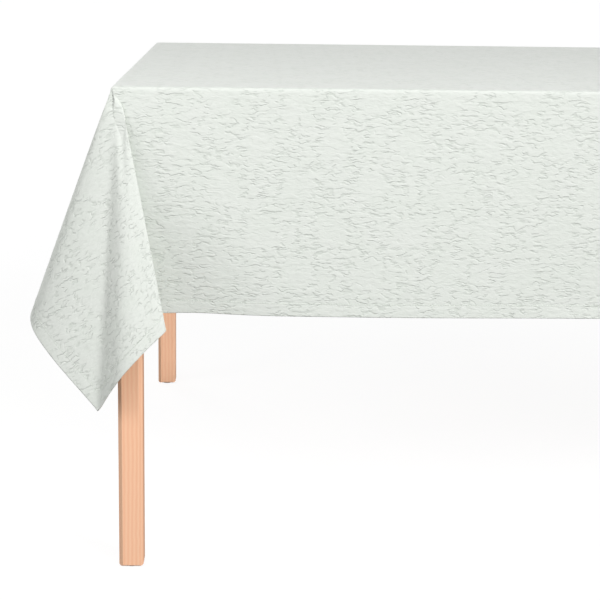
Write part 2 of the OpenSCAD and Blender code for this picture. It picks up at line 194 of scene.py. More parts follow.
class StudioSettings(bpy.types.PropertyGroup):
    """Camera, floor and light"""

    camera_right: FloatProperty(
        name="Camera right", description="Camera's distance right of the cloth's left edge",
        default=0.2033, unit="LENGTH",
    )
    camera_front: FloatProperty(
        name="Camera front", description="Camera's distance in front of the cloth's front edge",
        default=1.8453, unit="LENGTH",
    )
    camera_height: FloatProperty(
        name="Camera height", description="Camera's height above the floor",
        default=0.9575, unit="LENGTH",
    )
    tilt: FloatProperty(
        name="Tilt down", description="How far the camera looks down",
        default=math.radians(9.741), subtype="ANGLE",
    )
    yaw: FloatProperty(
        name="Turn right", description="How far the camera turns to the right",
        default=math.radians(1.258), subtype="ANGLE",
    )
    roll: FloatProperty(
        name="Roll", description="How far the camera leans",
        default=math.radians(0.743), subtype="ANGLE",
    )
    lens: FloatProperty(
        name="Focal length", description="Camera's focal length in millimetres",
        default=75.74, min=35, max=135,
    )
    shift: FloatVectorProperty(
        name="Shift", description="Lens shift across and up", size=2, default=(0.04, -0.22),
    )
    key_power: FloatProperty(
        name="Key light", description="Strength of the far soft light at the front right",
        default=1.72, min=0.0,
    )
    key_turn: FloatProperty(
        name="Key turn", description="How far the key light stands round to the right",
        default=math.radians(46), subtype="ANGLE",
    )
    key_height: FloatProperty(
        name="Key height", description="How high the key light stands",
        default=math.radians(24), subtype="ANGLE",
    )
    key_softness: FloatProperty(
        name="Key softness", description="How wide the key light looks from the table",
        default=math.radians(22), subtype="ANGLE",
    )
    side_power: FloatProperty(
        name="Side light", description="Strength of the weak far soft light at the front left",
        default=0.62, min=0.0,
    )
    back_power: FloatProperty(
        name="Back light", description="Strength of the low far soft light at the back left",
        default=1.4, min=0.0,
    )
    strip_power: FloatProperty(
        name="Strip light", description="Power of the long strip light along the front",
        default=20.0, min=0.0, subtype="POWER",
    )
    spot_power: FloatProperty(
        name="Low spot", description="Power of the lamp that lights the back leg under the cloth",
        default=230.0, min=0.0, subtype="POWER",
    )
    fill: FloatProperty(
        name="Fill", description="Strength of the even light from all round",
        default=0.27, min=0.0, max=2.0,
    )
    floor_glow: FloatProperty(
        name="Floor glow", description="Light that the backlit white floor gives off",
        default=0.91, min=0.0, max=1.0,
    )


# ---------- materials ----------


def colour(hex_code):
    """An sRGB hex colour as linear RGBA."""
    shares = [int(hex_code[i:i + 2], 16) / 255 for i in (1, 3, 5)]
    linear = [c / 12.92 if c <= 0.04045 else ((c + 0.055) / 1.055) ** 2.4 for c in shares]
    return (*linear, 1.0)


def node(tree, kind, settings=None, stops=(), **inputs):
    """Adds a node. Settings are its properties, and stops are a colour ramp's (position, hex).

    Inputs are values, or sockets or nodes to link. i0, i1 and i2 are inputs by number, and
    a node that is linked gives its first output.
    """
    made = tree.nodes.new(kind)
    for name, value in (settings or {}).items():
        setattr(made, name, value)
    for number, (position, hex_code) in enumerate(stops):
        made.color_ramp.elements[number].position = position
        made.color_ramp.elements[number].color = colour(hex_code)
    for name, value in inputs.items():
        by_number = name in ("i0", "i1", "i2")
        socket = made.inputs[int(name[1]) if by_number else name.replace("_", " ")]
        if isinstance(value, bpy.types.Node):
            value = value.outputs[0]
        if isinstance(value, bpy.types.NodeSocket):
            tree.links.new(value, socket)
        else:
            socket.default_value = value
    return made


def new_material(name):
    """An empty node material, and its tree."""
    material = bpy.data.materials.new(name)
    material.use_nodes = True
    material.node_tree.nodes.clear()
    return material, material.node_tree


# Operations of the sum, vector and range nodes
ADD = {"operation": "ADD"}
SUBTRACT = {"operation": "SUBTRACT"}
MULTIPLY = {"operation": "MULTIPLY"}
MULTIPLY_ADD = {"operation": "MULTIPLY_ADD"}
SMOOTH = {"interpolation_type": "SMOOTHSTEP"}
FLAT_NOISE = {"noise_dimensions": "2D"}


def planed_softwood(name, along):
    """Planed and lacquered pine.

    Slow growth rings show as soft salmon bands that run along the piece, with fine
    fibres between them and a low satin gleam from the matt lacquer.
    """
    settings = bpy.context.scene.table_settings
    material, tree = new_material(name)
    turns = {"X": (0.0, math.pi / 2, 0.0), "Y": (math.pi / 2, 0.0, 0.0), "Z": (0.0, 0.0, 0.0)}
    place = node(tree, "ShaderNodeTexCoord").outputs["Object"]
    grain = node(tree, "ShaderNodeMapping", Vector=place, Rotation=turns[along])
    # growth rings: wide slow bends along the grain, over one ring each few millimetres
    bend_place = node(tree, "ShaderNodeMapping", Vector=grain, Scale=(9, 9, 1.6))
    bend = node(tree, "ShaderNodeTexNoise", Vector=bend_place, Scale=1.0, Detail=2.0)
    bend_shift = node(tree, "ShaderNodeVectorMath", {"operation": "SCALE"},
                      i0=bend.outputs["Color"], Scale=12 * MM)
    bent = node(tree, "ShaderNodeVectorMath", ADD, i0=grain, i1=bend_shift)
    rings = node(tree, "ShaderNodeTexWave",
                 {"wave_type": "RINGS", "rings_direction": "Z", "wave_profile": "SIN"},
                 Vector=bent, Scale=WAVE_REPEAT / settings.ring_width,
                 Distortion=1.2, Detail=1.0).outputs["Fac"]
    # fibres: drawn 0.9 mm across, as real ones are too fine to show, and many times longer
    fibre_place = node(tree, "ShaderNodeMapping", Vector=grain, Scale=(1, 1, 0.03))
    fibres = node(tree, "ShaderNodeTexNoise", Vector=fibre_place, Scale=1 / (0.9 * MM),
                  Detail=3.0, Roughness=0.6)
    # boards differ a little from end to end
    patch = node(tree, "ShaderNodeTexNoise", Vector=bend_place, Scale=0.8, Detail=1.0)
    mix = node(tree, "ShaderNodeMath", MULTIPLY, i0=rings, i1=0.5)
    mix = node(tree, "ShaderNodeMath", MULTIPLY_ADD, i0=fibres, i1=0.3, i2=mix)
    mix = node(tree, "ShaderNodeMath", MULTIPLY_ADD | {"use_clamp": True}, i0=patch, i1=0.2,
               i2=mix)
    tint = node(tree, "ShaderNodeValToRGB", Fac=mix,
                stops=((0.15, settings.early_wood), (0.95, settings.late_wood)))
    height = node(tree, "ShaderNodeMath", MULTIPLY_ADD, i0=rings, i1=0.4, i2=fibres)
    bump = node(tree, "ShaderNodeBump", Strength=0.25, Distance=0.15 * MM, Height=height)
    shader = node(tree, "ShaderNodeBsdfPrincipled", Base_Color=tint, Normal=bump, Roughness=0.55,
                  IOR=1.5, Specular_IOR_Level=0.3, Coat_Weight=0.05, Coat_Roughness=0.35)
    node(tree, "ShaderNodeOutputMaterial", Surface=shader)
    return material


def zinc_plated_steel():
    """Bright zinc plating on cold-formed steel, tumbled in a barrel.

    A cool grey metal with a faint cloudy bloom and soft scuffs.
    """
    material, tree = new_material("zinc_plated_steel")
    place = node(tree, "ShaderNodeTexCoord").outputs["Object"]
    bloom = node(tree, "ShaderNodeTexNoise", Vector=place, Scale=1 / (6 * MM), Detail=4.0)
    scuffs = node(tree, "ShaderNodeTexNoise", Vector=place, Scale=1 / (0.8 * MM), Detail=2.0)
    tint = node(tree, "ShaderNodeValToRGB", Fac=bloom, stops=((0.3, "#AEB4B8"), (0.7, "#C9CCCE")))
    rough = node(tree, "ShaderNodeMapRange", Value=bloom, To_Min=0.28, To_Max=0.45)
    bump = node(tree, "ShaderNodeBump", Strength=0.2, Distance=0.05 * MM, Height=scuffs)
    shader = node(tree, "ShaderNodeBsdfPrincipled", Base_Color=tint, Roughness=rough,
                  Normal=bump, Metallic=1.0)
    node(tree, "ShaderNodeOutputMaterial", Surface=shader)
    return material


def moulded_polyethylene():
    """Injection-moulded polyethylene of the foot glides.

    A waxy brown plastic with a fine spark-eroded grain and rubbed lighter spots.
    """
    material, tree = new_material("moulded_polyethylene")
    place = node(tree, "ShaderNodeTexCoord").outputs["Object"]
    grain = node(tree, "ShaderNodeTexNoise", Vector=place, Scale=1 / (0.5 * MM), Detail=2.0)
    rubs = node(tree, "ShaderNodeTexNoise", Vector=place, Scale=1 / (7 * MM), Detail=3.0)
    tint = node(tree, "ShaderNodeValToRGB", Fac=rubs, stops=((0.35, "#8C6347"), (0.75, "#A0785A")))
    bump = node(tree, "ShaderNodeBump", Strength=0.3, Distance=0.06 * MM, Height=grain)
    shader = node(tree, "ShaderNodeBsdfPrincipled", Base_Color=tint, Normal=bump,
                  Roughness=0.48, IOR=1.5)
    node(tree, "ShaderNodeOutputMaterial", Surface=shader)
    return material


def embossed_cotton():
    """Cotton and polyester cloth, woven in two layers and crimped by heat.

    Short wavy creases lie across it between low puckers, and leaf-shaped patches stay
    smoother. The yarn shows as a soft matt tooth with a slight pile.
    """
    settings = bpy.context.scene.tablecloth_settings
    material, tree = new_material("embossed_cotton")
    flat = node(tree, "ShaderNodeUVMap", {"uv_map": "flat_metres"})
    # every line sways by a few millimetres
    sway_place = node(tree, "ShaderNodeMapping", Vector=flat, Scale=(1 / 0.011, 1 / 0.009, 1))
    sway = node(tree, "ShaderNodeTexNoise", FLAT_NOISE, Vector=sway_place, Scale=1.0, Detail=1.5)
    sway_shift = node(tree, "ShaderNodeVectorMath", MULTIPLY_ADD, i0=sway.outputs["Color"],
                      i1=(4 * MM, 7 * MM, 0.0), i2=(-2 * MM, -3.5 * MM, 0.0))
    swayed = node(tree, "ShaderNodeVectorMath", ADD, i0=flat, i1=sway_shift)
    # puckers: low swells 26 mm wide and 7 mm high, with a crease where one meets the next
    swell_place = node(tree, "ShaderNodeMapping", Vector=swayed, Scale=(1 / 0.026, 1 / 0.007, 1))
    swell = node(tree, "ShaderNodeTexNoise", FLAT_NOISE, Vector=swell_place, Scale=1.0, Detail=1.0)
    away = node(tree, "ShaderNodeMath", SUBTRACT, i0=swell, i1=0.5)
    away = node(tree, "ShaderNodeMath", {"operation": "ABSOLUTE"}, i0=away)
    crease = node(tree, "ShaderNodeMapRange", SMOOTH, Value=away,
                  From_Min=0.0, From_Max=0.10, To_Min=-1.0, To_Max=0.0)
    # which stretches of crease are pressed in deeply
    breaks_place = node(tree, "ShaderNodeMapping", Vector=flat, Scale=(1 / 0.014, 1 / 0.008, 1),
                        Location=(3.7, 1.3, 0))
    breaks = node(tree, "ShaderNodeTexNoise", FLAT_NOISE, Vector=breaks_place, Scale=1.0,
                  Detail=1.0)
    deep = node(tree, "ShaderNodeMapRange", SMOOTH, Value=breaks, From_Min=0.36, From_Max=0.62)
    # smooth leaves, 113 mm apart in half-dropped columns, 66 mm apart down a column
    patch_place = node(tree, "ShaderNodeVectorMath", MULTIPLY, i0=swayed,
                       i1=(2 * math.pi / 0.113, 2 * math.pi / 0.132, 0.0))
    split = node(tree, "ShaderNodeSeparateXYZ", Vector=patch_place)
    across = node(tree, "ShaderNodeMath", {"operation": "COSINE"}, i0=split.outputs["X"])
    down = node(tree, "ShaderNodeMath", {"operation": "COSINE"}, i0=split.outputs["Y"])
    leaf = node(tree, "ShaderNodeMath", MULTIPLY, i0=across, i1=down)
    leaf = node(tree, "ShaderNodeMapRange", SMOOTH, Value=leaf, From_Min=0.2, From_Max=0.75,
                To_Min=1.0, To_Max=0.25)
    press = node(tree, "ShaderNodeMath", MULTIPLY, i0=deep, i1=leaf)
    relief = node(tree, "ShaderNodeMath", MULTIPLY, i0=crease, i1=press)
    # finer crimps, 9 mm long and 2.6 mm apart, lie over the whole cloth
    crimp_place = node(tree, "ShaderNodeMapping", Vector=swayed, Scale=(1 / 0.009, 1 / 0.0026, 1))
    crimp = node(tree, "ShaderNodeTexNoise", FLAT_NOISE, Vector=crimp_place, Scale=1.0, Detail=1.0)
    # yarn tooth, drawn at 1.6 mm because the real 0.3 mm yarns are too fine to show
    tooth = node(tree, "ShaderNodeTexNoise", FLAT_NOISE, Vector=flat, Scale=1 / (1.6 * MM),
                 Detail=2.0)
    height = node(tree, "ShaderNodeMath", MULTIPLY, i0=relief, i1=0.85)
    height = node(tree, "ShaderNodeMath", MULTIPLY_ADD, i0=swell, i1=0.9, i2=height)
    height = node(tree, "ShaderNodeMath", MULTIPLY_ADD, i0=crimp, i1=0.42, i2=height)
    height = node(tree, "ShaderNodeMath", MULTIPLY_ADD, i0=tooth, i1=0.10, i2=height)
    bump = node(tree, "ShaderNodeBump", Strength=1.0, Distance=0.68 * MM, Height=height)
    # painted shade: the creases and the low parts of the crimps take a darker colour, standing in
    # for their shade; dye also takes unevenly from patch to patch
    cloud = node(tree, "ShaderNodeTexNoise", FLAT_NOISE, Vector=flat, Scale=1 / 0.05, Detail=2.0)
    ground = node(tree, "ShaderNodeMixRGB", Fac=cloud, Color1=colour("#E3E6E1"),
                  Color2=colour(settings.colour))
    # painted shade: the low parts of the crimps, and the deeply pressed creases, take the darker
    # colour
    fine = node(tree, "ShaderNodeMath", SUBTRACT, i0=0.58, i1=crimp)
    fine = node(tree, "ShaderNodeMath", MULTIPLY, i0=fine, i1=0.6)
    depth = node(tree, "ShaderNodeMath", MULTIPLY_ADD | {"use_clamp": True}, i0=relief, i1=-0.5,
                 i2=fine)
    tint = node(tree, "ShaderNodeMixRGB", Fac=depth, Color1=ground,
                Color2=colour(settings.painted_crease_shade_colour))
    shader = node(tree, "ShaderNodeBsdfPrincipled", Base_Color=tint, Normal=bump, Roughness=0.86,
                  IOR=1.46, Specular_IOR_Level=0.25, Sheen_Weight=0.25, Sheen_Roughness=0.5)
    node(tree, "ShaderNodeOutputMaterial", Surface=shader)
    return material


def spun_polyester():
    """Spun polyester sewing thread: pale, matt, with the twist of its plies."""
    material, tree = new_material("spun_polyester")
    place = node(tree, "ShaderNodeTexCoord").outputs["Object"]
    twist = node(tree, "ShaderNodeTexNoise", Vector=place, Scale=1 / (0.5 * MM), Detail=2.0)
    tint = node(tree, "ShaderNodeValToRGB", Fac=twist, stops=((0.3, "#D5DDD4"), (0.7, "#E9EEE6")))
    bump = node(tree, "ShaderNodeBump", Strength=0.5, Distance=0.1 * MM, Height=twist)
    shader = node(tree, "ShaderNodeBsdfPrincipled", Base_Color=tint, Normal=bump, Roughness=0.7,
                  Sheen_Weight=0.3)
    node(tree, "ShaderNodeOutputMaterial", Surface=shader)
    return material


def woven_satin_ribbon():
    """Narrow woven satin ribbon, left blank: fine ribs across a soft gleam."""
    material, tree = new_material("woven_satin_ribbon")
    place = node(tree, "ShaderNodeTexCoord").outputs["Object"]
    ribs = node(tree, "ShaderNodeTexWave", {"bands_direction": "Z"}, Vector=place,
                Scale=WAVE_REPEAT / (1.0 * MM), Distortion=0.3).outputs["Fac"]
    tint = node(tree, "ShaderNodeValToRGB", Fac=ribs, stops=((0.2, "#E4E4DF"), (0.8, "#F4F4F0")))
    bump = node(tree, "ShaderNodeBump", Strength=0.5, Distance=0.12 * MM, Height=ribs)
    shader = node(tree, "ShaderNodeBsdfPrincipled", Base_Color=tint, Normal=bump, Roughness=0.42,
                  Sheen_Weight=0.2)
    node(tree, "ShaderNodeOutputMaterial", Surface=shader)
    return material


def studio_floor():
    """Seamless matt paper sweep, rolled out: even and nearly white.

    The paper is lit from below as well, so it looks white and holds only a faint shadow.
    """
    studio = bpy.context.scene.studio_settings
    material, tree = new_material("paper_sweep")
    place = node(tree, "ShaderNodeTexCoord").outputs["Object"]
    fibre = node(tree, "ShaderNodeTexNoise", Vector=place, Scale=3.0, Detail=3.0)
    bounce = node(tree, "ShaderNodeValToRGB", Fac=fibre, stops=((0.3, "#8C8C8B"), (0.7, "#909090")))
    seen = node(tree, "ShaderNodeValToRGB", Fac=fibre, stops=((0.3, "#6A6A6A"), (0.7, "#6E6E6E")))
    first = node(tree, "ShaderNodeLightPath").outputs["Is Camera Ray"]
    tint = node(tree, "ShaderNodeMixRGB", Fac=first, Color1=bounce, Color2=seen)
    glow = node(tree, "ShaderNodeMath", MULTIPLY, i0=first, i1=studio.floor_glow)
    shader = node(tree, "ShaderNodeBsdfPrincipled", Base_Color=tint, Roughness=0.9,
                  Specular_IOR_Level=0.0, Emission_Color=(1.0, 1.0, 1.0, 1.0),
                  Emission_Strength=glow)
    node(tree, "ShaderNodeOutputMaterial", Surface=shader)
    return material


def studio_air(world, fill):
    """Even soft light from all round, in front of a white backdrop."""
    tree = world.node_tree
    tree.nodes.clear()
    first = node(tree, "ShaderNodeLightPath").outputs["Is Camera Ray"]
    strength = node(tree, "ShaderNodeMapRange", Value=first, To_Min=fill, To_Max=1.0)
    light = node(tree, "ShaderNodeBackground", Color=(1.0, 1.0, 1.0, 1.0), Strength=strength)
    node(tree, "ShaderNodeOutputWorld", Surface=light)


# ---------- the drape ----------


def smooth_step(low, high, value):
    """0 below low, 1 above high, and a soft rise between them."""
    t = np.clip((value - low) / (high - low), 0.0, 1.0)
    return t * t * (3 - 2 * t)


def smooth_curve(rows, steps):
    """Points along a curve through all the rows, a number of steps apart between two rows."""
    points = np.array(rows, float)
    padded = np.vstack([2 * points[0] - points[1], points, 2 * points[-1] - points[-2]])
    curve = []
    for p0, p1, p2, p3 in zip(padded, padded[1:], padded[2:], padded[3:]):
        knots = np.cumsum([0.0] + [np.linalg.norm(b - a) ** 0.5
                                   for a, b in ((p0, p1), (p1, p2), (p2, p3))])
        t = np.linspace(knots[1], knots[2], steps, endpoint=False)[:, None]
        a1 = ((knots[1] - t) * p0 + (t - knots[0]) * p1) / (knots[1] - knots[0])
        a2 = ((knots[2] - t) * p1 + (t - knots[1]) * p2) / (knots[2] - knots[1])
        a3 = ((knots[3] - t) * p2 + (t - knots[2]) * p3) / (knots[3] - knots[2])
        b1 = ((knots[2] - t) * a1 + (t - knots[0]) * a2) / (knots[2] - knots[0])
        b2 = ((knots[3] - t) * a2 + (t - knots[1]) * a3) / (knots[3] - knots[1])
        curve.append(((knots[2] - t) * b1 + (t - knots[1]) * b2) / (knots[2] - knots[1]))
    return np.vstack([*curve, points[-1:]])


def directions(rows, steps):
    """Unit directions of the rays on a stretch of the fold, and the angle run through so far."""
    lean = smooth_curve(rows, steps)
    rays = np.column_stack([lean, -np.ones(len(lean))])
    rays /= np.linalg.norm(rays, axis=1)[:, None]
    turn = np.arccos(np.clip((rays[1:] * rays[:-1]).sum(1), -1.0, 1.0))
    return rays, np.concatenate([[0.0], np.cumsum(turn)])


class Drape:
    """The cloth's rest shape: where each point of the flat cloth hangs.

    Flat points are (a, b), from the cloth's middle along its length and its width.
    """

    # points between two rows of the fold
    STEPS = 7
    # how far the flap's root moves along the table edge
    ROOT_SHIFT = 14 * MM
    # the groove at the flap's root: its place as a flat angle, its depth and half its width
    GROOVE_TURN = math.radians(123)
    GROOVE_DEPTH = 6 * MM
    GROOVE_WIDTH = 5 * MM
    # how far the front is set back beside the flap at the hem
    HEM_RECESS = 9 * MM
    # distances from the corner over which the hem's waves die out, on the front and the end
    CALM_FRONT = (0.22, 0.38)
    CALM_END = (0.17, 0.34)

    def __init__(self, settings):
        low, high = CLOTH_BOX
        wood_low, wood_high = TOP_BOX
        self.flat = np.array([settings.flat_length, settings.flat_width]) / 2
        out = high.z - wood_high.z
        self.top = high.z
        self.edge = np.array([wood_high.x + out, wood_high.y + out])
        self.drop = self.flat - self.edge
        self.radius = settings.bend_radius
        self.wave_height = settings.wave_height
        front, front_turn = directions(FOLD_FRONT, self.STEPS)
        side, side_turn = directions(FOLD_SIDE, self.STEPS)
        start = math.atan2(1.0, FOLD_FRONT[0][0])
        end = 1.5 * math.pi - math.atan2(1.0, FOLD_SIDE[-1][1])
        self.tip = math.pi / 2 + math.atan2(self.drop[0], self.drop[1])
        # the folded front keeps its own angles, and the flap takes up the rest of the quarter
        to_edge = front_turn[FOLD_EDGE_ROW * self.STEPS]
        spread = (self.tip - start - to_edge) / (front_turn[-1] - to_edge)
        front_angle = start + np.where(
            front_turn < to_edge, front_turn, to_edge + (front_turn - to_edge) * spread)
        side_angle = self.tip + side_turn * (end - self.tip) / side_turn[-1]
        self.start = start
        self.end = end
        self.angle = np.concatenate([front_angle, side_angle[1:]])
        self.ray = np.vstack([front, side[1:]])

    def rays_in_corner(self):
        """Flat angles of the rays that cross the cloth's corner, closest where it folds."""
        inside = (self.angle > math.pi / 2 + 0.004) & (self.angle < math.pi - 0.004)
        return self.angle[inside]

    def sharp(self, a, b):
        """The folded shape before its creases are rounded."""
        p = self.edge[0] - np.abs(a)
        q = self.edge[1] - np.abs(b)
        over = (p < 0) | (q < 0)
        phi = np.arctan2(-q, p)
        phi = np.where(phi < -1e-9, phi + 2 * math.pi, phi)
        reach = np.hypot(p, q)
        folded = (phi > self.start) & (phi < self.end)
        x = np.where(q < 0, p, 0.0)
        y = np.where(q < 0, 0.0, q)
        z = np.where(q < 0, q, p)
        for axis, flat_value in enumerate((x, y, z)):
            bent = reach * np.interp(phi, self.angle, self.ray[:, axis])
            flat_value[...] = np.where(folded, bent, flat_value)
        x, y = self.gather(phi, reach, x, y)
        x = np.where(over, x, p)
        y = np.where(over, y, q)
        z = np.where(over, z, 0.0)
        return np.column_stack([
            np.sign(a) * (self.edge[0] - x), np.sign(b) * (self.edge[1] - y), self.top + z,
        ])

    def gather(self, phi, reach, x, y):
        """Moves the flap's root along the table edge, presses a groove beside it, and sets the
        front back a little beside the flap, low down. Behind the flap this presses the cloth
        about 3 mm into the leg's face, which the flap hides."""
        beside = smooth_step(1.5, 1.85, phi) * (1 - smooth_step(2.1, 2.65, phi))
        x = x + self.ROOT_SHIFT * beside * smooth_step(0.0, 0.03, reach)
        across = (phi - self.GROOVE_TURN) * reach / self.GROOVE_WIDTH
        fade = smooth_step(0.0, 0.015, reach) * (1 - smooth_step(0.05, 0.19, reach))
        y = y + self.GROOVE_DEPTH * fade * np.exp(-across ** 2)
        recess = smooth_step(0.90, 1.28, phi) * (1 - smooth_step(1.42, 1.50, phi))
        y = y + self.HEM_RECESS * recess * smooth_step(0.16, 0.36, reach)
        return x, y

    def rounded(self, a, b):
        """The folded shape with every crease rounded, as the average over a small disc."""
        total = self.sharp(a, b)
        weight = 1.0
        for share, count, ring_weight in ((0.4, 6, 6.0), (0.75, 10, 7.0), (1.0, 14, 5.0)):
            for k in range(count):
                turn = 2 * math.pi * (k + 0.5 * share) / count
                part = ring_weight / count
                total += part * self.sharp(
                    a + share * self.radius * math.cos(turn),
                    b + share * self.radius * math.sin(turn),
                )
                weight += part
        return total / weight

    def place(self, flat):
        """Where the outer face hangs, for an array of flat points."""
        a, b = flat[:, 0], flat[:, 1]
        a = np.where(a == 0, 1e-9, a)
        b = np.where(b == 0, 1e-9, b)
        spot = self.rounded(a, b)
        down_front = np.clip((np.abs(b) - self.edge[1]) / self.drop[1], 0, 1)
        down_end = np.clip((np.abs(a) - self.edge[0]) / self.drop[0], 0, 1)
        from_corner_x = self.edge[0] - np.abs(a)
        from_corner_y = self.edge[1] - np.abs(b)
        calm_x = smooth_step(*self.CALM_FRONT, from_corner_x)
        calm_y = smooth_step(*self.CALM_END, from_corner_y)
        sway_a = 0.5 + 0.25 * np.sin(a * 9.1 + 0.8 * np.sign(b)) + 0.25 * np.sin(a * 15.7 + 2.1)
        sway_b = 0.5 + 0.25 * np.sin(b * 10.3 + 0.5 * np.sign(a)) + 0.25 * np.sin(b * 17.9 + 0.7)
        spot[:, 1] += np.sign(b) * self.wave_height * calm_x * sway_a * down_front ** 1.6
        spot[:, 0] += np.sign(a) * self.wave_height * calm_y * sway_b * down_end ** 1.6
        return spot

    def normals(self, flat):
        """Outward unit normals at flat points."""
        step = 0.8 * MM
        along_a = self.place(flat + (step, 0)) - self.place(flat - (step, 0))
        along_b = self.place(flat + (0, step)) - self.place(flat - (0, step))
        across = np.cross(along_a, along_b)
        return across / np.maximum(np.linalg.norm(across, axis=1), 1e-12)[:, None]


def line_up(half, fine_end, fine, coarse, first):
    """Distances from a corner to the middle of a side: some given, then fine, then coarse."""
    marks = list(first)
    while marks[-1] < fine_end:
        marks.append(marks[-1] + fine)
    count = max(1, round((half - marks[-1]) / coarse))
    marks += list(np.linspace(marks[-1], half, count + 1)[1:])
    return np.array(marks)


# Distances from the tabletop's edge of the first rows and columns, where the cloth bends
EDGE_MARKS = tuple(d * MM for d in (0, 1.5, 3, 5, 8, 12))
# Distances up from the hem of the last rows, round the stitching, and the rows above them
HEM_MARKS = tuple(d * MM for d in (22, 20, 18, 12, 6, 1.5, 0))
DROP_ROWS = 23
# Column spacing near a corner and in the middle of a side, and where one gives way
FINE_SPACING = 7 * MM
COARSE_SPACING = 24 * MM
FINE_REACH = 0.18


def skirt_layout(drape):
    """Where the cloth's columns start along each side, and where each corner's rays end."""
    edge = drape.edge
    marks_x = line_up(edge[0], FINE_REACH, FINE_SPACING, COARSE_SPACING, EDGE_MARKS)
    marks_y = line_up(edge[1], FINE_REACH, FINE_SPACING, COARSE_SPACING, EDGE_MARKS)
    stops_x = np.concatenate([marks_x - edge[0], (edge[0] - marks_x[:-1])[::-1]])
    stops_y = np.concatenate([marks_y - edge[1], (edge[1] - marks_y[:-1])[::-1]])
    fan_hem = []
    for angle in drape.rays_in_corner():
        direction = np.array([math.cos(angle), -math.sin(angle)])
        reach = min(
            drape.drop[1] / max(-direction[1], 1e-9),
            drape.drop[0] / max(-direction[0], 1e-9),
        )
        fan_hem.append(edge + np.abs(direction) * reach)
    return stops_x, stops_y, np.array(fan_hem)


def sheet_layout(drape, settings):
    """Flat points, faces between them, and the loop of points along the hem."""
    edge, flat = drape.edge, drape.flat
    stops_x, stops_y, fan_hem = skirt_layout(drape)
    points = []
    index = {}

    def at(key, a, b):
        if key not in index:
            index[key] = len(points)
            points.append((a, b))
        return index[key]

    nx, ny = len(stops_x), len(stops_y)
    for i, a in enumerate(stops_x):
        for j, b in enumerate(stops_y):
            at(("top", i, j), a, b)
    faces = []
    for i in range(nx - 1):
        for j in range(ny - 1):
            faces.append([index["top", i, j], index["top", i + 1, j],
                          index["top", i + 1, j + 1], index["top", i, j + 1]])
    # columns once round, anticlockwise from above: front, right, back, left
    columns = []
    for i in range(nx):
        columns.append((("top", i, 0), (stops_x[i], -edge[1]), (stops_x[i], -flat[1])))
    for hem in fan_hem:
        columns.append((("top", nx - 1, 0), (edge[0], -edge[1]), (hem[0], -hem[1])))
    for j in range(ny):
        columns.append((("top", nx - 1, j), (edge[0], stops_y[j]), (flat[0], stops_y[j])))
    for hem in fan_hem[::-1]:
        columns.append((("top", nx - 1, ny - 1), (edge[0], edge[1]), (hem[0], hem[1])))
    for i in range(nx - 1, -1, -1):
        columns.append((("top", i, ny - 1), (stops_x[i], edge[1]), (stops_x[i], flat[1])))
    for hem in fan_hem:
        columns.append((("top", 0, ny - 1), (-edge[0], edge[1]), (-hem[0], hem[1])))
    for j in range(ny - 1, -1, -1):
        columns.append((("top", 0, j), (-edge[0], stops_y[j]), (-flat[0], stops_y[j])))
    for hem in fan_hem[::-1]:
        columns.append((("top", 0, 0), (-edge[0], -edge[1]), (-hem[0], -hem[1])))
    drop = drape.drop[1]
    marks = list(EDGE_MARKS[1:])
    body_end = drop - settings.hem_width - 5 * MM
    marks += list(np.linspace(marks[-1], body_end, DROP_ROWS)[1:])
    marks += [drop - up for up in HEM_MARKS]
    ids = []
    for c, (key, start, end) in enumerate(columns):
        start, end = np.array(start), np.array(end)
        column = [index[key]]
        for r, mark in enumerate(marks):
            spot = start + (end - start) * (mark / drop)
            column.append(at(("skirt", c, r), *spot))
        ids.append(column)
    for c, column in enumerate(ids):
        following = ids[(c + 1) % len(ids)]
        for r in range(len(column) - 1):
            ring = [column[r], column[r + 1], following[r + 1], following[r]]
            ring = [v for k, v in enumerate(ring) if v != ring[k - 1]]
            faces.append(ring)
    hem = [column[-1] for column in ids]
    return np.array(points), faces, hem


def add_object(context, name, data):
    """A new object with this mesh, light or camera, in the scene."""
    made = bpy.data.objects.new(name, data)
    context.collection.objects.link(made)
    return made


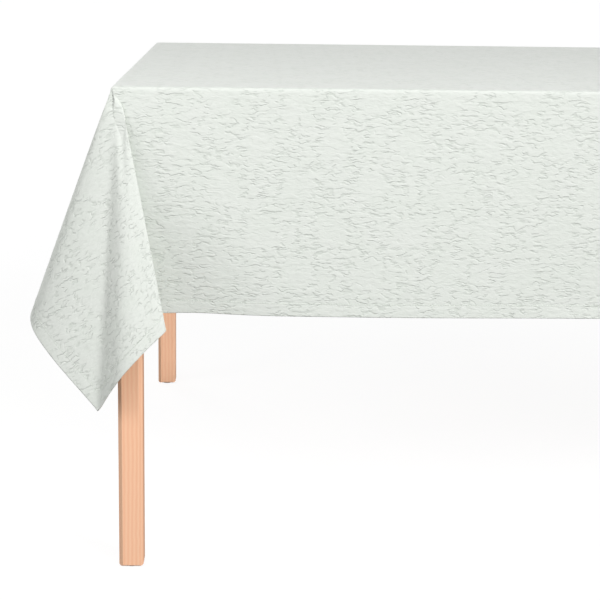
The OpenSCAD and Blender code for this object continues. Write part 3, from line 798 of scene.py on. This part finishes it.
class TABLECLOTH_OT_stage(bpy.types.Operator):
    """Lay the pale floor, hang the soft lights and set up the camera"""

    bl_idname = "tablecloth.stage"
    bl_label = "Stage"

    def execute(self, context):
        studio = context.scene.studio_settings
        context.scene.view_settings.view_transform = "Standard"
        mesh = bpy.data.meshes.new("floor")
        half = FLOOR_HALF
        mesh.from_pydata([(-half, -half, 0), (half, -half, 0), (half, half, 0), (-half, half, 0)],
                         [], [(0, 1, 2, 3)])
        floor = add_object(context, "floor", mesh)
        mesh.materials.append(studio_floor())

        world = bpy.data.worlds.new("studio")
        world.use_nodes = True
        studio_air(world, studio.fill)
        context.scene.world = world
        self.sun(context, "key", studio.key_power, studio.key_turn, studio.key_height,
                 studio.key_softness)
        self.sun(context, "back", studio.back_power, *map(math.radians, BACK_LIGHT))
        self.sun(context, "side", studio.side_power, *map(math.radians, SIDE_LIGHT))
        self.strip(context, studio)
        self.low_spot(context, studio)
        self.camera(context, studio)
        return {"FINISHED"}

    def sun(self, context, name, power, turn, height, softness):
        """A large far soft light, turned from the front to the right and raised by two angles."""
        data = bpy.data.lights.new(name, "SUN")
        data.energy = power
        data.angle = softness
        lamp = add_object(context, name, data)
        toward = Vector((
            math.sin(turn) * math.cos(height), -math.cos(turn) * math.cos(height), math.sin(height),
        ))
        lamp.rotation_euler = toward.to_track_quat("Z", "Y").to_euler()

    def strip(self, context, studio):
        """A long strip light along the front, above the table's height."""
        data = bpy.data.lights.new("strip", "AREA")
        data.energy = studio.strip_power
        data.shape = "RECTANGLE"
        data.size, data.size_y = STRIP_SIZE
        lamp = add_object(context, "strip", data)
        low, high = CAD_BOX
        lamp.location = (low.x / 2, low.y - STRIP_FORWARD, high.z + STRIP_ABOVE)
        aim = Vector((low.x / 2, low.y, high.z * 0.8)) - lamp.location
        lamp.rotation_euler = aim.to_track_quat("-Z", "Y").to_euler()

    def low_spot(self, context, studio):
        """A narrow lamp near the floor, which reaches the back left leg under the cloth."""
        data = bpy.data.lights.new("low_spot", "SPOT")
        data.energy = studio.spot_power
        data.spot_size = SPOT_CONE
        data.spot_blend = 0.6
        data.shadow_soft_size = 0.1
        lamp = add_object(context, "low_spot", data)
        low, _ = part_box("leg_back_left")
        lamp.location = (low.x + SPOT_PLACE[0], low.y + SPOT_PLACE[1], SPOT_PLACE[2])
        aim = Vector((low.x, low.y, SPOT_AIM_HEIGHT)) - lamp.location
        lamp.rotation_euler = aim.to_track_quat("-Z", "Y").to_euler()

    def camera(self, context, studio):
        """The camera stands before the cloth's front left corner."""
        data = bpy.data.cameras.new("camera")
        data.lens = studio.lens
        data.sensor_width = 36.0
        data.shift_x, data.shift_y = studio.shift
        data.clip_start, data.clip_end = 0.05, 60.0
        camera = add_object(context, "camera", data)
        out = CLOTH_BOX[1].z - TOP_BOX[1].z
        corner = Vector((TOP_BOX[0].x - out, TOP_BOX[0].y - out, 0.0))
        place = corner + Vector((studio.camera_right, -studio.camera_front, studio.camera_height))
        forward = Vector((
            math.sin(studio.yaw) * math.cos(studio.tilt),
            math.cos(studio.yaw) * math.cos(studio.tilt),
            -math.sin(studio.tilt),
        ))
        right = forward.cross(Vector((0, 0, 1))).normalized()
        up = right.cross(forward)
        right, up = (
            right * math.cos(studio.roll) + up * math.sin(studio.roll),
            up * math.cos(studio.roll) - right * math.sin(studio.roll),
        )
        turn = Matrix((right, up, -forward)).transposed().to_4x4()
        camera.matrix_world = Matrix.Translation(place) @ turn
        context.scene.camera = camera


def paint(names, material):
    """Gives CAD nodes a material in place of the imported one."""
    for name in names:
        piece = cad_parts[name]
        if not piece.material_slots:
            piece.data.materials.append(material)
        for slot in piece.material_slots:
            slot.link = "OBJECT"
            slot.material = material


class TABLECLOTH_OT_wood(bpy.types.Operator):
    """Finish the tabletop, legs, aprons, rail and corner blocks in planed softwood"""

    bl_idname = "tablecloth.wood"
    bl_label = "Wooden Parts"

    def execute(self, context):
        arris = context.scene.table_settings.arris
        upright = WOOD_ALONG_Z + CORNER_BLOCKS
        for along, names in (("X", WOOD_ALONG_X), ("Y", WOOD_ALONG_Y), ("Z", upright)):
            paint(names, planed_softwood(f"planed_pine_{along.lower()}", along))
        for name in WOOD_ALONG_X + WOOD_ALONG_Y + upright:
            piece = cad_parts[name]
            weld = piece.modifiers.new("weld", "WELD")
            weld.merge_threshold = 0.02 * MM
            bevel = piece.modifiers.new("arris", "BEVEL")
            bevel.width = arris
            bevel.segments = 2
            bevel.limit_method = "ANGLE"
            bevel.angle_limit = math.radians(30)
            bevel.harden_normals = True
        return {"FINISHED"}


class TABLECLOTH_OT_hardware(bpy.types.Operator):
    """Finish the bolts, washers, nuts, screws and clips in zinc plate, and the glides in plastic"""

    bl_idname = "tablecloth.hardware"
    bl_label = "Hardware and Glides"

    def execute(self, context):
        paint(HARDWARE, zinc_plated_steel())
        paint(GLIDES, moulded_polyethylene())
        return {"FINISHED"}


class TABLECLOTH_OT_cloth(bpy.types.Operator):
    """Drape the embossed cloth over the tabletop"""

    bl_idname = "tablecloth.cloth"
    bl_label = "Tablecloth"

    def execute(self, context):
        settings = context.scene.tablecloth_settings
        drape = Drape(settings)
        flat, faces, hem = sheet_layout(drape, settings)
        outer = drape.place(flat)
        normal = drape.normals(flat)
        hem_distance = np.minimum(
            drape.flat[1] - np.abs(flat[:, 1]), drape.flat[0] - np.abs(flat[:, 0]))
        folded = 1 - smooth_step(settings.hem_width, settings.hem_width + 3 * MM, hem_distance)
        depth = settings.thickness * (1 + 1.1 * folded)
        inner = outer - normal * depth[:, None]
        stitch = np.exp(-((hem_distance - settings.hem_width) / (1.4 * MM)) ** 2)
        outer -= normal * (0.3 * MM * stitch)[:, None]
        count = len(flat)
        vertices = np.vstack([outer, inner])
        polygons = [tuple(f) for f in faces]
        polygons += [tuple(count + i for i in reversed(f)) for f in faces]
        for i, j in zip(hem, hem[1:] + hem[:1]):
            polygons.append((j, i, count + i, count + j))
        mesh = bpy.data.meshes.new("tablecloth_sheet")
        mesh.from_pydata(vertices.tolist(), [], polygons)
        layer = mesh.uv_layers.new(name="flat_metres")
        corner_vertex = np.zeros(len(mesh.loops), np.int32)
        mesh.loops.foreach_get("vertex_index", corner_vertex)
        both = np.vstack([flat, flat]) + drape.flat
        layer.data.foreach_set("uv", both[corner_vertex].astype(np.float32).ravel())
        mesh.polygons.foreach_set("use_smooth", [True] * len(mesh.polygons))
        mesh.update()
        cloth = add_object(context, "tablecloth_sheet", mesh)
        mesh.materials.append(embossed_cotton())
        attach(cloth, "cloth")
        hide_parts("tablecloth")
        return {"FINISHED"}


class TABLECLOTH_OT_hem_stitches(bpy.types.Operator):
    """Sew the hem: one spindle-shaped stitch after another, round all four sides"""

    bl_idname = "tablecloth.hem_stitches"
    bl_label = "Hem Stitches"

    def execute(self, context):
        settings = context.scene.tablecloth_settings
        drape = Drape(settings)
        inset = drape.flat - settings.hem_width
        pitch = settings.stitch_length * 1.2
        centres, headings = [], []
        corners = [(-inset[0], -inset[1]), (inset[0], -inset[1]),
                   (inset[0], inset[1]), (-inset[0], inset[1])]
        for start, end in zip(corners, corners[1:] + corners[:1]):
            start, end = np.array(start), np.array(end)
            length = np.linalg.norm(end - start)
            count = int(length / pitch)
            shares = (np.arange(count) + 0.5) / count
            centres.append(start + (end - start) * shares[:, None])
            headings.append(np.tile((end - start) / length, (count, 1)))
        centre = np.vstack(centres)
        heading = np.vstack(headings)
        half = settings.stitch_length / 2
        spot = drape.place(centre)
        ahead = drape.place(centre + heading * half) - drape.place(centre - heading * half)
        ahead /= np.linalg.norm(ahead, axis=1)[:, None]
        normal = drape.normals(centre)
        side = np.cross(normal, ahead)
        rings = ((-1.0, 0.35), (-0.6, 1.0), (0.6, 1.0), (1.0, 0.35))
        around = 6
        radius = 0.28 * MM
        vertices, polygons = [], []
        for k in range(len(centre)):
            base = len(vertices)
            for along, width in rings:
                lift = 0.12 * MM - 0.35 * MM * max(0.0, abs(along) - 0.6)
                middle = spot[k] + ahead[k] * half * along + normal[k] * lift
                for s in range(around):
                    turn = 2 * math.pi * s / around
                    ring_spot = middle + radius * width * (
                        math.cos(turn) * side[k] + math.sin(turn) * normal[k])
                    vertices.append(ring_spot)
            for r in range(len(rings) - 1):
                for s in range(around):
                    a = base + r * around + s
                    b = base + r * around + (s + 1) % around
                    polygons.append((a, b, b + around, a + around))
            last = base + (len(rings) - 1) * around
            polygons.append(tuple(base + s for s in reversed(range(around))))
            polygons.append(tuple(last + s for s in range(around)))
        mesh = bpy.data.meshes.new("hem_stitches")
        mesh.from_pydata(vertices, [], polygons)
        mesh.polygons.foreach_set("use_smooth", [True] * len(mesh.polygons))
        stitches = add_object(context, "hem_stitches", mesh)
        mesh.materials.append(spun_polyester())
        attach(stitches, "cloth")
        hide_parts("hem_thread")
        return {"FINISHED"}


class TABLECLOTH_OT_care_label(bpy.types.Operator):
    """Sew in the blank ribbon label inside the back hem"""

    bl_idname = "tablecloth.care_label"
    bl_label = "Care Label"

    def execute(self, context):
        low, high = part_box("care_label")
        thick = 0.35 * MM
        across, up = 8, 14
        vertices, polygons = [], []
        for face in (0, 1):
            for j in range(up + 1):
                for i in range(across + 1):
                    u, v = i / across, j / up
                    curl = 2.2 * MM * v * v + 0.5 * MM * math.sin(math.pi * u)
                    vertices.append((
                        low.x + (high.x - low.x) * u,
                        high.y - 1.2 * MM - curl - thick * face,
                        low.z - 4 * MM + (high.z - low.z) * v,
                    ))
        row = across + 1
        layer = row * (up + 1)
        for j in range(up):
            for i in range(across):
                a = j * row + i
                quad = (a, a + row, a + row + 1, a + 1)
                polygons.append(quad)
                polygons.append(tuple(layer + k for k in reversed(quad)))
        rim = list(range(row))
        rim += [j * row + across for j in range(1, up + 1)]
        rim += [up * row + i for i in range(across - 1, -1, -1)]
        rim += [j * row for j in range(up - 1, 0, -1)]
        for a, b in zip(rim, rim[1:] + rim[:1]):
            polygons.append((a, b, layer + b, layer + a))
        mesh = bpy.data.meshes.new("care_label_ribbon")
        mesh.from_pydata(vertices, [], polygons)
        mesh.polygons.foreach_set("use_smooth", [True] * len(mesh.polygons))
        label = add_object(context, "care_label_ribbon", mesh)
        mesh.materials.append(woven_satin_ribbon())
        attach(label, "cloth")
        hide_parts("care_label")
        return {"FINISHED"}


class TABLECLOTH_PT_sidebar(bpy.types.Panel):
    """Lists the settings and the steps of the build"""

    bl_idname = "TABLECLOTH_PT_sidebar"
    bl_label = "Tablecloth"
    bl_space_type = "VIEW_3D"
    bl_region_type = "UI"
    bl_category = "Tablecloth"

    def draw(self, context):
        scene = context.scene
        for group in (scene.tablecloth_settings, scene.table_settings, scene.studio_settings):
            box = self.layout.box()
            for name in group.__annotations__:
                box.prop(group, name)
        for step in STEPS:
            self.layout.operator(step.bl_idname)


STEPS = (
    TABLECLOTH_OT_stage, TABLECLOTH_OT_wood, TABLECLOTH_OT_hardware, TABLECLOTH_OT_cloth,
    TABLECLOTH_OT_hem_stitches, TABLECLOTH_OT_care_label,
)
GROUPS = {
    "tablecloth_settings": TableclothSettings,
    "table_settings": TableSettings,
    "studio_settings": StudioSettings,
}


def register():
    for group in GROUPS.values():
        bpy.utils.register_class(group)
    for cls in (*STEPS, TABLECLOTH_PT_sidebar):
        bpy.utils.register_class(cls)
    for name, group in GROUPS.items():
        setattr(bpy.types.Scene, name, PointerProperty(type=group))


def unregister():
    for name in GROUPS:
        delattr(bpy.types.Scene, name)
    for cls in (TABLECLOTH_PT_sidebar, *reversed(STEPS), *GROUPS.values()):
        bpy.utils.unregister_class(cls)


def main():
    register()
    bpy.ops.tablecloth.stage()
    bpy.ops.tablecloth.wood()
    bpy.ops.tablecloth.hardware()
    bpy.ops.tablecloth.cloth()
    bpy.ops.tablecloth.hem_stitches()
    bpy.ops.tablecloth.care_label()


if __name__ == "__main__":
    main()
